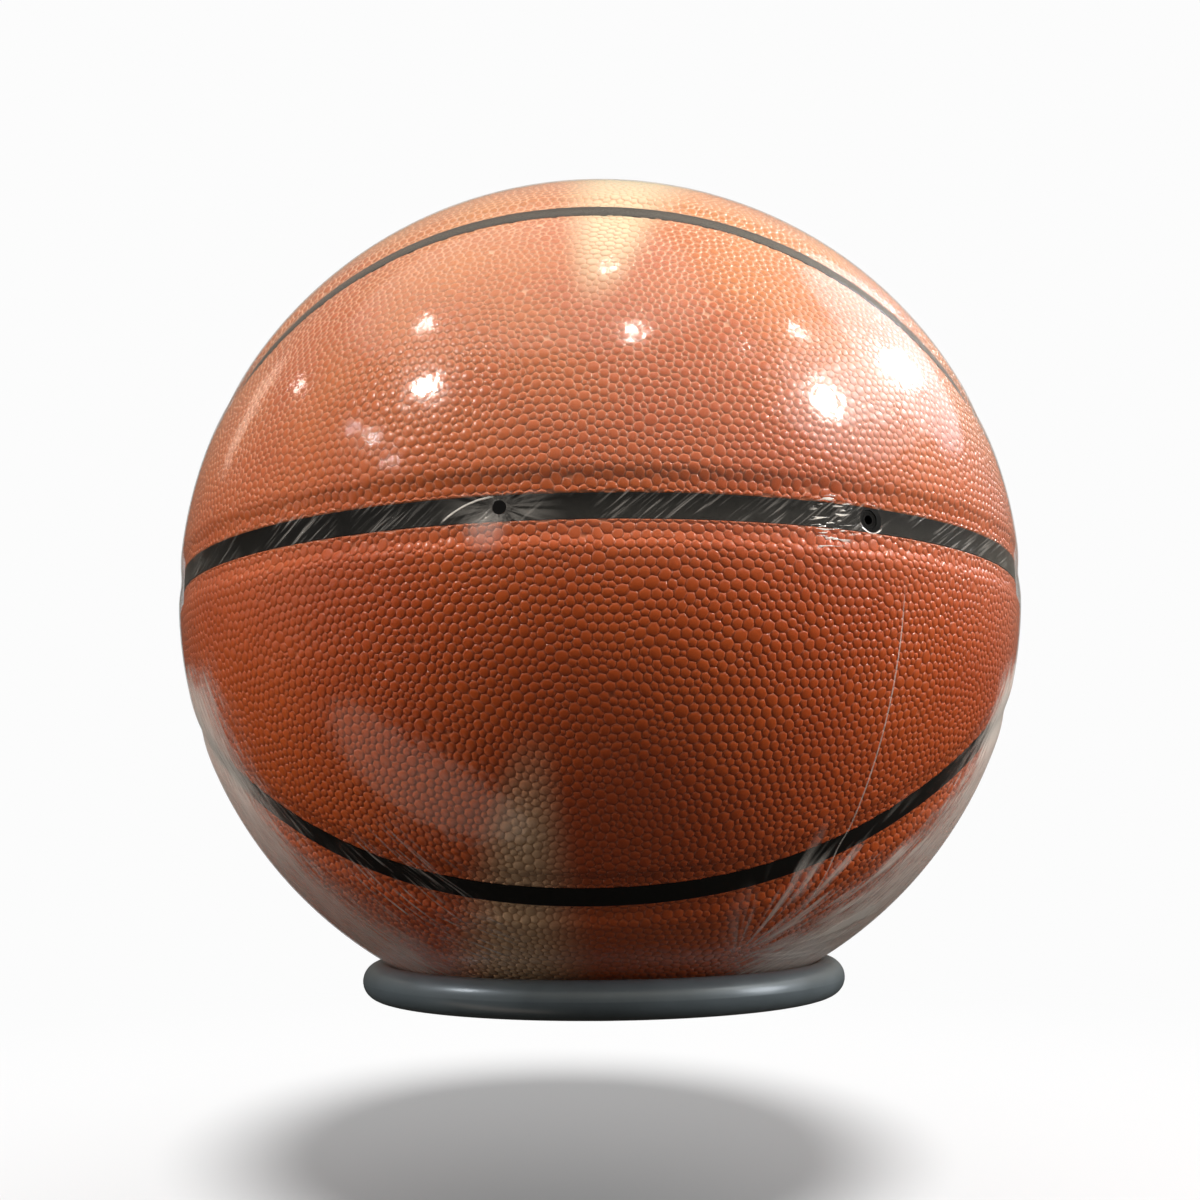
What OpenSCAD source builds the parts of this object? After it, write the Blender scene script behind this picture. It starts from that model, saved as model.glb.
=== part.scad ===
// A size 7 composite basketball in clear shrink film, resting in a round display ring.
// The origin is the centre of the ball. +Z is up and -Y is the front.
// Two channels are great circles: one level, one upright and seen edge-on from the front.
// The other two are closed curves round the top and the bottom of the ball.

/* [Ball] */
// Radius of the ball over its leather
ball_r = 120; // [100:1:130]
// Width of the black channels between the leather panels
channel_w = 5.8; // [5.4:0.1:8]
// Depth of the channels below the leather
channel_depth = 1; // [0.6:0.1:1.4]
// Mean height of the curved channels above the level one, in degrees
seam_mean_angle = 32.2; // [28:0.1:36]
// How far the curved channels rise at the front and back and dip at the sides, in degrees
seam_swing_angle = 14.4; // [8:0.1:16]
// How much the curved channels are squared at their ends, in degrees
seam_square_angle = -2.1; // [-4:0.1:0]

/* [Layers] */
// Thickness of the composite leather panels
panel_t = 2; // [1.8:0.1:3]
// Thickness of the rubber carcass
carcass_t = 1.6; // [1:0.1:3]
// Thickness of the nylon winding
winding_t = 0.6; // [0.4:0.1:1]
// Thickness of the butyl bladder
bladder_t = 0.9; // [0.6:0.1:1.5]
// Glue line between one layer and the next
glue_gap = 0.1; // [0.1:0.01:0.15]

/* [Valve] */
// Angle of the valve along the level channel, from the front towards +X
valve_angle = 33; // [10:1:80]
// Radius of the hole that the inflating needle goes into
needle_r = 1.1; // [0.9:0.05:1.2]
// Depth of the needle hole
needle_depth = 12; // [8:0.5:14]
// Rubber round the needle hole
core_wall = 0.5; // [0.4:0.05:0.6]
// Rubber of the valve body's neck round the core
neck_wall = 0.5; // [0.4:0.05:0.6]
// Radius of the valve body's stem below the channel
stem_r = 4.5; // [4:0.1:6]
// Length of the valve body, from the channel into the ball
stem_length = 16; // [14:0.5:24]
// Radius of the flange that seals the stem to the bladder
flange_r = 9; // [7:0.5:14]
// Thickness of the flange
flange_t = 1.5; // [1:0.1:3]
// Thickness of the core's foot, which keeps it from being pulled out
foot_t = 1.5; // [1:0.1:2]
// How far the core and the valve body's neck lie below the channel strip
neck_drop = 0.2; // [0.1:0.05:0.4]

/* [Film] */
// Thickness of the film as modelled
film_t = 0.2; // [0.15:0.05:0.4]
// Space between the leather and the film
film_gap = 0.15; // [0.1:0.01:0.3]
// How far the film dips over the channels
film_dip = 0.6; // [0.3:0.1:0.6]
// Radius of the hole in the film over the valve
valve_vent_r = 3.2; // [3:0.1:5]
// Radius of the second hole in the film
side_vent_r = 1.6; // [1:0.1:4]
// Angle of the second hole along the level channel, from the front towards -X
side_vent_angle = 8; // [0:1:60]

/* [Ring] */
// Radius of the display ring to the middle of its bar
ring_r = 63; // [45:1:90]
// Radius of the ring's round bar
bar_r = 4.75; // [3:0.25:8]
// Space between the film and the ring at rest
ring_gap = 0.3; // [0.2:0.05:1]

/* [Hidden] */
$fn = 128;
// Facets of the curved channels, all the way round
seam_steps = 120;
// How far the cutting shapes reach past the ball, as a share of its radius
reach_share = 1.6;
reach = ball_r * reach_share;

panel_in_r = ball_r - panel_t;
strip_out_r = ball_r - channel_depth;
carcass_out_r = panel_in_r - glue_gap;
winding_out_r = carcass_out_r - carcass_t - glue_gap;
bladder_out_r = winding_out_r - winding_t - glue_gap;
bladder_in_r = bladder_out_r - bladder_t;
film_in_r = ball_r + film_gap;
film_out_r = film_in_r + film_t;
strip_w = channel_w - 2 * glue_gap;

core_r = needle_r + core_wall;
neck_r = core_r + glue_gap + neck_wall;
neck_top = strip_out_r - neck_drop;
stem_foot = neck_top - stem_length;
foot_r = (core_r + stem_r) / 2;

ring_drop = sqrt(pow(film_out_r + ring_gap + bar_r, 2) - pow(ring_r, 2));

leather_color = [0.74, 0.38, 0.22];
rubber_color = [0.07, 0.07, 0.07];

// Angle of the top curved channel above the level one, where it passes the given direction
function seam_height(around) =
    seam_mean_angle + seam_swing_angle * cos(2 * around) + seam_square_angle * cos(4 * around);

// Direction from the centre of the ball, from an angle round it and an angle above the level channel
function direction(around, above) =
    [sin(around) * cos(above), -cos(around) * cos(above), sin(above)];

function seam_direction(around) = direction(around, seam_height(around));

// Unit vector square to the curved channel, along the surface and towards the top of the ball
function seam_side(around) =
    let (next = seam_direction(around + 180 / seam_steps))
    let (last = seam_direction(around - 180 / seam_steps))
    let (side = cross(seam_direction(around), next - last))
    side / norm(side);

// Directions of the curved channel's middle, or of a line beside it at the given distance on the leather
function seam_rim(beside) =
    let (turn = asin(beside / ball_r))
    [for (i = [0 : seam_steps - 1])
        let (around = 360 * i / seam_steps)
        seam_direction(around) * cos(turn) + seam_side(around) * sin(turn)];

// Everything above a cone that runs from the centre of the ball through the curved channel
module above_seam(beside) {
    points = concat([[0, 0, 0], [0, 0, reach]], reach * seam_rim(beside));
    sides = [for (i = [0 : seam_steps - 1]) [0, 2 + i, 2 + (i + 1) % seam_steps]];
    lid = [for (i = [0 : seam_steps - 1]) [1, 2 + (i + 1) % seam_steps, 2 + i]];
    polyhedron(points = points, faces = concat(sides, lid));
}

module shell(outer_r, inner_r) {
    difference() {
        sphere(outer_r);
        sphere(inner_r);
    }
}

// Half of space in front of the upright channel, from the given distance on
module front_half(from) {
    translate([-reach, -from - reach, -reach])
        cube([2 * reach, reach, 2 * reach]);
}

// Half of space above the level channel, from the given distance on
module upper_half(from) {
    translate([-reach, -reach, from])
        cube([2 * reach, 2 * reach, reach]);
}

// Turns a shape that points along +Z to lie along the level channel's middle at the given angle
module along_level(around) {
    rotate([0, 0, around])
        rotate([90, 0, 0])
            children();
}

// One leather panel between the top curved channel and the top of the ball, in front
module end_panel() {
    color(leather_color)
        intersection() {
            shell(ball_r, panel_in_r);
            above_seam(channel_w / 2);
            front_half(channel_w / 2);
        }
}

// One leather panel between the level channel and the top curved channel, in front
module side_panel() {
    color(leather_color)
        difference() {
            intersection() {
                shell(ball_r, panel_in_r);
                upper_half(channel_w / 2);
                front_half(channel_w / 2);
            }
            above_seam(-channel_w / 2);
        }
}

module panel_top_front() {
    end_panel();
}

module panel_top_back() {
    mirror([0, 1, 0])
        end_panel();
}

module panel_upper_front() {
    side_panel();
}

module panel_upper_back() {
    mirror([0, 1, 0])
        side_panel();
}

module panel_lower_front() {
    mirror([0, 0, 1])
        side_panel();
}

module panel_lower_back() {
    mirror([0, 0, 1])
        mirror([0, 1, 0])
            side_panel();
}

module panel_bottom_front() {
    mirror([0, 0, 1])
        end_panel();
}

module panel_bottom_back() {
    mirror([0, 0, 1])
        mirror([0, 1, 0])
            end_panel();
}

// Black rubber strip of one curved channel
module curved_strip() {
    color(rubber_color)
        difference() {
            intersection() {
                shell(strip_out_r, panel_in_r);
                above_seam(-strip_w / 2);
            }
            above_seam(strip_w / 2);
        }
}

module top_channel() {
    curved_strip();
}

module bottom_channel() {
    mirror([0, 0, 1])
        curved_strip();
}

module level_channel() {
    color(rubber_color)
        difference() {
            intersection() {
                shell(strip_out_r, panel_in_r);
                cube([2 * reach, 2 * reach, strip_w], center = true);
            }
            along_level(valve_angle)
                cylinder(h = reach, r = neck_r + glue_gap);
        }
}

// The upright channel is cut where the other three cross it
module upright_channel() {
    color(rubber_color)
        difference() {
            intersection() {
                shell(strip_out_r, panel_in_r);
                cube([2 * reach, strip_w, 2 * reach], center = true);
            }
            cube([2 * reach, 2 * reach, channel_w], center = true);
            for (up = [0, 1])
                mirror([0, 0, up])
                    difference() {
                        above_seam(-channel_w / 2);
                        above_seam(channel_w / 2);
                    }
        }
}

// One layer of the ball's body, with the hole that the valve's stem goes through
module layer(outer_r, thickness) {
    difference() {
        shell(outer_r, outer_r - thickness);
        along_level(valve_angle)
            cylinder(h = reach, r = stem_r + glue_gap);
    }
}

module carcass() {
    color([0.16, 0.15, 0.15])
        layer(carcass_out_r, carcass_t);
}

module nylon_winding() {
    color([0.88, 0.86, 0.8])
        layer(winding_out_r, winding_t);
}

module bladder() {
    color([0.12, 0.12, 0.13])
        layer(bladder_out_r, bladder_t);
}

// The stem runs from the channel strip into the ball, and its flange lies inside the bladder
module valve_body() {
    flange_foot = bladder_in_r - glue_gap - flange_t;
    color([0.2, 0.19, 0.19])
        along_level(valve_angle)
            difference() {
                union() {
                    intersection() {
                        translate([0, 0, flange_foot])
                            cylinder(h = 2 * flange_t, r = flange_r);
                        sphere(bladder_in_r - glue_gap);
                    }
                    intersection() {
                        translate([0, 0, stem_foot])
                            cylinder(h = stem_length, r = stem_r);
                        sphere(carcass_out_r);
                    }
                    translate([0, 0, flange_foot])
                        cylinder(h = neck_top - flange_foot, r = neck_r);
                }
                cylinder(h = reach, r = core_r + glue_gap);
            }
}

// Soft plug in the valve body, with the needle hole along its middle and a foot under the stem
module valve_core() {
    color([0.3, 0.28, 0.27])
        along_level(valve_angle)
            difference() {
                union() {
                    translate([0, 0, stem_foot - glue_gap - foot_t])
                        cylinder(h = neck_top - stem_foot + glue_gap + foot_t, r = core_r);
                    translate([0, 0, stem_foot - glue_gap - foot_t])
                        cylinder(h = foot_t, r = foot_r);
                }
                translate([0, 0, neck_top - needle_depth])
                    cylinder(h = reach, r = needle_r);
            }
}

// Everything within the given distance of the middle of a channel
module near_channels(beside) {
    cube([2 * reach, 2 * reach, 2 * beside], center = true);
    cube([2 * reach, 2 * beside, 2 * reach], center = true);
    for (up = [0, 1])
        mirror([0, 0, up])
            difference() {
                above_seam(-beside);
                above_seam(beside);
            }
}

// A ball with grooves of the given half width along the channels
module grooved_ball(outer_r, groove_r, beside) {
    difference() {
        sphere(outer_r);
        difference() {
            near_channels(beside);
            sphere(groove_r);
        }
    }
}

// Clear film shrunk all round the ball and a little into its channels, with two holes that let the air out
module shrink_film() {
    dip_side = channel_w / 2 - film_gap;
    color([0.85, 0.88, 0.9, 0.25])
        difference() {
            grooved_ball(film_out_r, film_out_r - film_dip, dip_side - film_t);
            grooved_ball(film_in_r, film_in_r - film_dip, dip_side);
            along_level(valve_angle)
                cylinder(h = reach, r = valve_vent_r);
            along_level(-side_vent_angle)
                cylinder(h = reach, r = side_vent_r);
        }
}

// Closed ring of round bar that the ball rests in
module display_ring() {
    color([0.5, 0.52, 0.53])
        translate([0, 0, -ring_drop])
            rotate_extrude()
                translate([ring_r, 0])
                    circle(bar_r);
}

bladder();
valve_body();
valve_core();
nylon_winding();
carcass();
level_channel();
upright_channel();
top_channel();
bottom_channel();
panel_top_front();
panel_top_back();
panel_upper_front();
panel_upper_back();
panel_lower_front();
panel_lower_back();
panel_bottom_front();
panel_bottom_back();
shrink_film();
display_ring();
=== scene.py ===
# %% [markdown]
# # A pebbled basketball in clear shrink film, on a display ring
#
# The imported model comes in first, as a fixed frame. Its rubber, its valve and its ring keep their own
# shapes and only get materials. The eight leather panels and the film are modelled again here, because
# the grain of the leather and the smooth film are what the eye sees on this ball.
#
# Every length is in metres, so a size in millimetres is written as a number times MM. The ball's middle is
# the origin, +Z is up, and the front looks towards -Y.

# %% Load the frame
import math

import bpy
import numpy as np
from mathutils import Matrix, Vector


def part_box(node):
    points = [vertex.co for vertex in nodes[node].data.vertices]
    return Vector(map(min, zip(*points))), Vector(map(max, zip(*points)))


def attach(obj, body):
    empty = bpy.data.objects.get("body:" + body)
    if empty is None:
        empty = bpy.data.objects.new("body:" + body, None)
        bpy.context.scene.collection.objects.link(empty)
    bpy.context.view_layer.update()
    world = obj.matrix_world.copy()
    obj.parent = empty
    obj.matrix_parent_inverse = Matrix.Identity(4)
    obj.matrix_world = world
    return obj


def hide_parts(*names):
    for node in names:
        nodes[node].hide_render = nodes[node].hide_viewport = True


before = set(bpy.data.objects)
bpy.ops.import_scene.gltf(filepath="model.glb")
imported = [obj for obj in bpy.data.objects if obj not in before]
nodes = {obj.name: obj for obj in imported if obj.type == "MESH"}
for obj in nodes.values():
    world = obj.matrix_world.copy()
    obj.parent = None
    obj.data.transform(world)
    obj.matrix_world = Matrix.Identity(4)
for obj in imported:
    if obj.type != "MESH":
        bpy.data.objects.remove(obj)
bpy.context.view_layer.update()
MM = 0.001
print("CAD nodes:", len(nodes))

# %% [markdown]
# ## The ball's sizes
#
# The outside sizes are read from the frame, so the new pieces fit the CAD model by themselves. The strips in
# the channels are a little narrower than the channels, so the channel's own width is a value here.

# %% Read the sizes
BALL_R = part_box("panel_top_front")[1].z
FILM_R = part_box("shrink_film")[1].z
STRIP_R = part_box("level_channel")[1].x
CHANNEL_HALF = 2.9 * MM
PANEL_INNER_R = 118.0 * MM
print(f"ball radius {BALL_R / MM:.2f} mm, film {FILM_R / MM:.2f} mm, channel strips {STRIP_R / MM:.2f} mm")

# %% [markdown]
# ## Reading and writing points
#
# An operator works on what is selected in edit mode. Where a shape follows a formula, it is easier to take
# all the points of a mesh as one table, change them together and put them back.

# %% Point tables
def points_of(piece):
    """The piece's vertices as a table with one row for each."""
    table = np.empty(len(piece.data.vertices) * 3, np.float32)
    piece.data.vertices.foreach_get("co", table)
    return table.reshape(-1, 3).astype(float)


def move_points(piece, table):
    """Puts a table of vertices back into the piece."""
    piece.data.vertices.foreach_set("co", np.ascontiguousarray(table, np.float32).ravel())
    piece.data.update()


def to_radius(table, radius):
    """The same points, each moved straight out or in to the radius."""
    return table * (radius / np.linalg.norm(table, axis=1))[:, None]


def pick_alone(piece):
    """Selects the piece and nothing else."""
    bpy.ops.object.select_all(action="DESELECT")
    piece.select_set(True)
    bpy.context.view_layer.objects.active = piece


def edit(piece, pick=None):
    """Opens the piece alone in edit mode, with only the faces in pick selected, or all of it."""
    pick_alone(piece)
    bpy.ops.object.mode_set(mode="EDIT")
    bpy.ops.mesh.select_mode(type="FACE")
    bpy.ops.mesh.select_all(action="SELECT" if pick is None else "DESELECT")
    if pick is not None:
        bpy.ops.object.mode_set(mode="OBJECT")
        piece.data.polygons.foreach_set("select", pick)
        bpy.ops.object.mode_set(mode="EDIT")


def done():
    bpy.ops.object.mode_set(mode="OBJECT")


# %% [markdown]
# ## Where the channels run
#
# Two channels are great circles, one level and one upright. The other two are closed curves: at an angle a
# round the ball, counted from the front, the upper one lies at a height that rises and falls twice on its
# way round. The distance from a point to each channel decides where the panels end and where the film dips,
# so each is a function of the points.

# %% Distances on the ball
SEAM_MEAN, SEAM_SWING, SEAM_SQUARE = 32.2, 14.4, -2.1


def from_level(p):
    """How far the points lie above the middle of the level channel, along the surface."""
    return BALL_R * np.arcsin(p[:, 2] / np.linalg.norm(p, axis=1))


def from_upright(p):
    """How far the points lie in front of the middle of the upright channel."""
    return BALL_R * np.arcsin(-p[:, 1] / np.linalg.norm(p, axis=1))


def from_curve(p):
    """How far the points lie below the middle of the upper curved channel."""
    a = np.arctan2(p[:, 0], -p[:, 1])
    height = np.arcsin(p[:, 2] / np.linalg.norm(p, axis=1))
    seam = np.radians(SEAM_MEAN + SEAM_SWING * np.cos(2 * a) + SEAM_SQUARE * np.cos(4 * a))
    slope = -np.radians(2 * SEAM_SWING * np.sin(2 * a) + 4 * SEAM_SQUARE * np.sin(4 * a))
    steepness = np.sqrt(1 + (slope / np.clip(np.cos(height), 0.5, 1)) ** 2)
    return BALL_R * (seam - height) / steepness


# %% [markdown]
# ## Scattered cells
#
# Moulded basketball leather is covered with pebbles about 2.3 mm apart. They are rounded cells with five to
# seven sides, in rows that wander. A noise texture can't give their outline, so they are real shapes here.
#
# The net starts as an icosahedron. Each of six rounds cuts every edge in two and puts the new points on the
# ball, so that the points end up 2.3 mm apart all over it. Blender's finer icospheres space their points less
# evenly. Shaking the points and turning the edges between them the shorter way gives a net with five to seven
# edges at a point. Later the net is turned inside out, point for face, and each point becomes a pebble.

# %% Make the net
SHAKE = 0.9 * MM
NET_SEED = 4
HALVINGS, EASINGS = 6, 3
bpy.ops.object.select_all(action="DESELECT")
bpy.ops.mesh.primitive_ico_sphere_add(subdivisions=1, radius=BALL_R)
net = bpy.context.object
for _ in range(HALVINGS):
    edit(net)
    bpy.ops.mesh.subdivide(number_cuts=1)
    done()
    move_points(net, to_radius(points_of(net), BALL_R))
edit(net)
bpy.ops.transform.vertex_random(offset=SHAKE, uniform=1.0, normal=0.0, seed=NET_SEED)
done()
for _ in range(EASINGS):
    move_points(net, to_radius(points_of(net), BALL_R))
    edit(net)
    bpy.ops.mesh.beautify_fill(angle_limit=math.pi)
    bpy.ops.mesh.vertices_smooth(factor=0.5, repeat=1)
    done()
move_points(net, to_radius(points_of(net), BALL_R))
print("net points:", len(net.data.vertices))

# %% [markdown]
# ## Cutting a net along a line
#
# A panel's edge crosses the net's triangles. Cutting each triangle would leave slivers, so the net is trimmed
# as a knitter would do it: triangles that lie wholly outside go, and the points left on the border are
# pulled onto the line. Each point is pulled straight, down the slope of the distance.

# %% Trim a net
KEEP_FROM = 0.9 * MM
CLOSE_POINTS = 0.7 * MM


def pull_onto(p, distance, radius):
    """The points moved along the ball to where the distance is 0."""
    step = 0.01 * MM
    for _ in range(3):
        value = distance(p)
        slope = np.stack([(distance(p + step * axis) - value) / step for axis in np.eye(3)], axis=1)
        p = p - slope * (value / (slope ** 2).sum(axis=1))[:, None]
        p = to_radius(p, radius)
    return p


def trim(piece, distance, radius, keep_from=KEEP_FROM):
    """Takes off what lies where the distance is below 0, and ends the piece exactly on 0."""
    p = points_of(piece)
    inside = distance(p) > keep_from
    corners = np.empty(len(piece.data.polygons) * 3, np.int32)
    piece.data.polygons.foreach_get("vertices", corners)
    corners = corners.reshape(-1, 3)
    kept = inside[corners].any(axis=1)
    border = np.zeros(len(p), bool)
    border[corners[kept].ravel()] = True
    border &= ~inside
    p[border] = pull_onto(p[border], distance, radius)
    move_points(piece, p)
    edit(piece, ~kept)
    bpy.ops.mesh.delete(type="FACE")
    done()


def copy_of(piece, name):
    """A copy of the piece with its own mesh."""
    copy = piece.copy()
    copy.data = piece.data.copy()
    copy.name = copy.data.name = name
    bpy.context.scene.collection.objects.link(copy)
    return copy


# %% [markdown]
# ## Two panels
#
# All eight panels come from two shapes. A side panel lies between the level channel, the upright channel and
# a curved one. An end panel lies between a curved channel and the upright one and reaches over the top. The
# front upper and front top panels are cut from the net here.

# %% Cut the panels
def side_edge(p):
    return np.minimum(from_curve(p), np.minimum(from_level(p), from_upright(p))) - CHANNEL_HALF


def end_edge(p):
    return np.minimum(-from_curve(p), from_upright(p)) - CHANNEL_HALF


def cut_panel(name, lines):
    """A panel-shaped piece of the net, with its cells evened out inside its edges."""
    panel = copy_of(net, name)
    for line in lines:
        trim(panel, lambda p: line(p) - CHANNEL_HALF, BALL_R)
    edit(panel)
    bpy.ops.mesh.select_mode(type="VERT")
    bpy.ops.mesh.select_all(action="SELECT")
    bpy.ops.mesh.remove_doubles(threshold=CLOSE_POINTS)
    bpy.ops.mesh.select_all(action="DESELECT")
    bpy.ops.mesh.select_non_manifold()
    bpy.ops.mesh.select_all(action="INVERT")
    bpy.ops.mesh.vertices_smooth(factor=0.5, repeat=2)
    done()
    move_points(panel, to_radius(points_of(panel), BALL_R))
    return panel


side = cut_panel("leather_upper_front", [from_level, from_upright, from_curve])
end = cut_panel("leather_top_front", [from_upright, lambda p: -from_curve(p)])
bpy.data.objects.remove(net)
for panel in (side, end):
    print(panel.name, "cells:", len(panel.data.vertices))

# %% [markdown]
# ## From net to pebbles
#
# Blender's Dual Mesh node turns a net inside out: every point becomes a face with as many sides as it had
# edges. It is a geometry node, so a small node group carries it, and a modifier runs the group on a mesh.

# %% Swap points and faces
def dual_mesh():
    """A modifier's node group that swaps a mesh's points and faces."""
    group = bpy.data.node_groups.new("points to cells", "GeometryNodeTree")
    group.interface.new_socket("Mesh", in_out="INPUT", socket_type="NodeSocketGeometry")
    group.interface.new_socket("Mesh", in_out="OUTPUT", socket_type="NodeSocketGeometry")
    start = group.nodes.new("NodeGroupInput")
    swap = group.nodes.new("GeometryNodeDualMesh")
    swap.inputs["Keep Boundaries"].default_value = True
    group.links.new(start.outputs[0], swap.inputs["Mesh"])
    group.links.new(swap.outputs[0], group.nodes.new("NodeGroupOutput").inputs[0])
    return group


CELLS = dual_mesh()
print("node group:", CELLS.name)

# %% [markdown]
# ## Raised pebbles
#
# A Solidify modifier gives the sheet of cells the panel's thickness. Two insets of single faces then raise
# each cell: the first lifts a steep shoulder out of the groove, the second rounds it off to a flat top. The
# smallest cells, at a panel's edge, stay flat, because an inset would turn them over.

# %% Raise the pebbles
PEBBLE_HEIGHT = 0.31 * MM
SHOULDER = 0.2 * MM
SHOULDER_WIDTH = 0.2 * MM
CROWN_WIDTH = 0.36 * MM
SMALLEST_CELL = 1.1 * MM ** 2


def apply_modifier(piece, kind, **settings):
    """Adds a modifier with its settings and makes it part of the mesh."""
    pick_alone(piece)
    made = piece.modifiers.new(kind.lower(), kind)
    for name, value in settings.items():
        setattr(made, name, value)
    bpy.ops.object.modifier_apply(modifier=made.name)


def face_table(piece, what, width=3):
    table = np.empty(len(piece.data.polygons) * width, np.float32)
    piece.data.polygons.foreach_get(what, table)
    return table.reshape(-1, width) if width > 1 else table


def pebble(panel):
    """Makes a trimmed net into a thick panel with a pebbled outside."""
    apply_modifier(panel, "NODES", node_group=CELLS)
    groove_r = BALL_R - PEBBLE_HEIGHT
    move_points(panel, to_radius(points_of(panel), groove_r))
    apply_modifier(panel, "SOLIDIFY", thickness=groove_r - PANEL_INNER_R, offset=-1)
    middle, normal = face_table(panel, "center"), face_table(panel, "normal")
    outward = (middle * normal).sum(axis=1) > 0.9 * PANEL_INNER_R
    cell = outward & (face_table(panel, "area", 1) > SMALLEST_CELL)
    edit(panel, cell)
    for width, lift in ((SHOULDER_WIDTH, SHOULDER), (CROWN_WIDTH, PEBBLE_HEIGHT - SHOULDER)):
        bpy.ops.mesh.inset(thickness=width, depth=lift, use_individual=True, use_even_offset=False)
    done()
    return int(cell.sum())


for panel in (side, end):
    print(panel.name, "pebbles:", pebble(panel))

# %% [markdown]
# ## Rolled edges
#
# At a channel the leather is pressed down onto the rubber, so each panel rolls inwards some millimetres
# before its edge and then runs level. The height of every point in the grain is kept as an attribute first,
# because the leather's material tints the grooves with it.

# %% Roll the edges down
ROLL_FROM, ROLL_TO = 6.4 * MM, 2.6 * MM
ROLL_DEPTH = 0.95 * MM
SMOOTH_BELOW = 80


def roll_edges(panel, edge):
    """Stores the grain's height, then rolls the outside of the panel down towards its edges."""
    p = points_of(panel)
    r = np.linalg.norm(p, axis=1)
    grain = np.clip((r - BALL_R + PEBBLE_HEIGHT) / PEBBLE_HEIGHT, 0, 1)
    attribute = panel.data.attributes.new("grain_height", "FLOAT", "POINT")
    attribute.data.foreach_set("value", grain.astype(np.float32))
    near = np.clip((ROLL_FROM - edge(p)) / (ROLL_FROM - ROLL_TO), 0, 1)
    sunk = ROLL_DEPTH * near ** 2 * (3 - 2 * near)
    inner = r < (BALL_R + PANEL_INNER_R) / 2
    move_points(panel, to_radius(p, 1.0) * np.where(inner, PANEL_INNER_R, r - sunk)[:, None])
    pick_alone(panel)
    bpy.ops.object.shade_smooth_by_angle(angle=math.radians(SMOOTH_BELOW))


roll_edges(side, side_edge)
roll_edges(end, end_edge)
print(f"edges rolled down by {ROLL_DEPTH / MM:.2f} mm")

# %% [markdown]
# ## Eight panels
#
# Half a turn about any of the three axes lays the pattern of channels onto itself. So each of the two
# panels is copied three times, and every copy is turned half way round another axis. A turn, unlike a
# mirror, doesn't show the same grain on both sides of a channel.

# %% Copy the panels round the ball
TURNS = {"lower_front": "Y", "upper_back": "Z", "lower_back": "X"}
END_OF = {"upper": "top", "lower": "bottom"}
panels = [side, end]
for place, axis in TURNS.items():
    level, face = place.split("_")
    for source, name in ((side, place), (end, END_OF[level] + "_" + face)):
        copy = copy_of(source, "leather_" + name)
        copy.data.transform(Matrix.Rotation(math.pi, 4, axis))
        panels.append(copy)
for panel in panels:
    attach(panel, "ball")
    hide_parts(panel.name.replace("leather_", "panel_"))
print("panels:", len(panels), "triangles:", sum(len(c.vertices) - 2 for p in panels for c in p.data.polygons))

# %% [markdown]
# ## Shrink film
#
# The film is shrunk tight with warm air, so it touches the pebbles, spans the channels with a shallow dip and
# is pierced by two vents. Two distances tell where: the one from a vent's rim and the one from the nearest
# channel. The lower curved channel is the mirror image of the upper one, so it needs no formula of its own.

# %% Distances on the film
def towards(azimuth, height=0):
    """The direction at an azimuth from the front towards +X and a height, both in degrees."""
    a, h = math.radians(azimuth), math.radians(height)
    return np.array([math.sin(a) * math.cos(h), -math.cos(a) * math.cos(h), math.sin(h)])


def around(direction, r):
    """A distance function for a round hole in the direction given."""
    return lambda p: np.linalg.norm(to_radius(p, BALL_R) - BALL_R * direction, axis=1) - r


def from_channels(p):
    """The distance to the middle of the nearest channel."""
    mirror_image = p * np.array([1, 1, -1])
    each = [from_level(p), from_upright(p), from_curve(p), from_curve(mirror_image)]
    return np.min(np.abs(each), axis=0)


# %% [markdown]
# ## Vents and dips
#
# The film starts as another icosphere. The vents are too small for its triangles, so the triangles round each
# vent are divided first, and the same trim as before opens them. The film throws no shadow on the leather,
# because clear film takes next to no light away.

# %% Shape the film
FILM_T = 0.2 * MM
FILM_DIP = 0.6 * MM
DIP_WIDTH = 4 * MM
VALVE_ANGLE, VENT_ANGLE = 33, -8
VALVE_VENT_R, SIDE_VENT_R = 3.2 * MM, 1.6 * MM
FINE_ROUND_VENT, VENT_KEEP_FROM = 4 * MM, 0.25 * MM

bpy.ops.object.select_all(action="DESELECT")
bpy.ops.mesh.primitive_ico_sphere_add(subdivisions=7, radius=FILM_R)
film = bpy.context.object
film.name = film.data.name = "film"
for angle, r in ((VALVE_ANGLE, VALVE_VENT_R), (VENT_ANGLE, SIDE_VENT_R)):
    hole = around(towards(angle), r)
    edit(film, hole(face_table(film, "center").astype(float)) < r + FINE_ROUND_VENT)
    bpy.ops.mesh.subdivide(number_cuts=3)
    bpy.ops.mesh.select_all(action="SELECT")
    bpy.ops.mesh.quads_convert_to_tris()
    done()
    move_points(film, to_radius(points_of(film), FILM_R))
    trim(film, hole, FILM_R, keep_from=VENT_KEEP_FROM)
p = points_of(film)
dip = FILM_DIP * np.exp(-(from_channels(p) / DIP_WIDTH) ** 2)
move_points(film, to_radius(p, 1.0) * (FILM_R - dip)[:, None])
apply_modifier(film, "SOLIDIFY", thickness=FILM_T, offset=-1)
edit(film)
bpy.ops.mesh.faces_shade_smooth()
done()
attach(film, "ball")
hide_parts("shrink_film")
film.visible_shadow = False
print("film triangles:", sum(len(c.vertices) - 2 for c in film.data.polygons))

# %% [markdown]
# ## Tools for materials
#
# Colours are written as sRGB hex values, as a paint program shows them, and one function turns them to the
# linear values that shaders work in. Another adds a node, sets it up and links it in one line.

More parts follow.
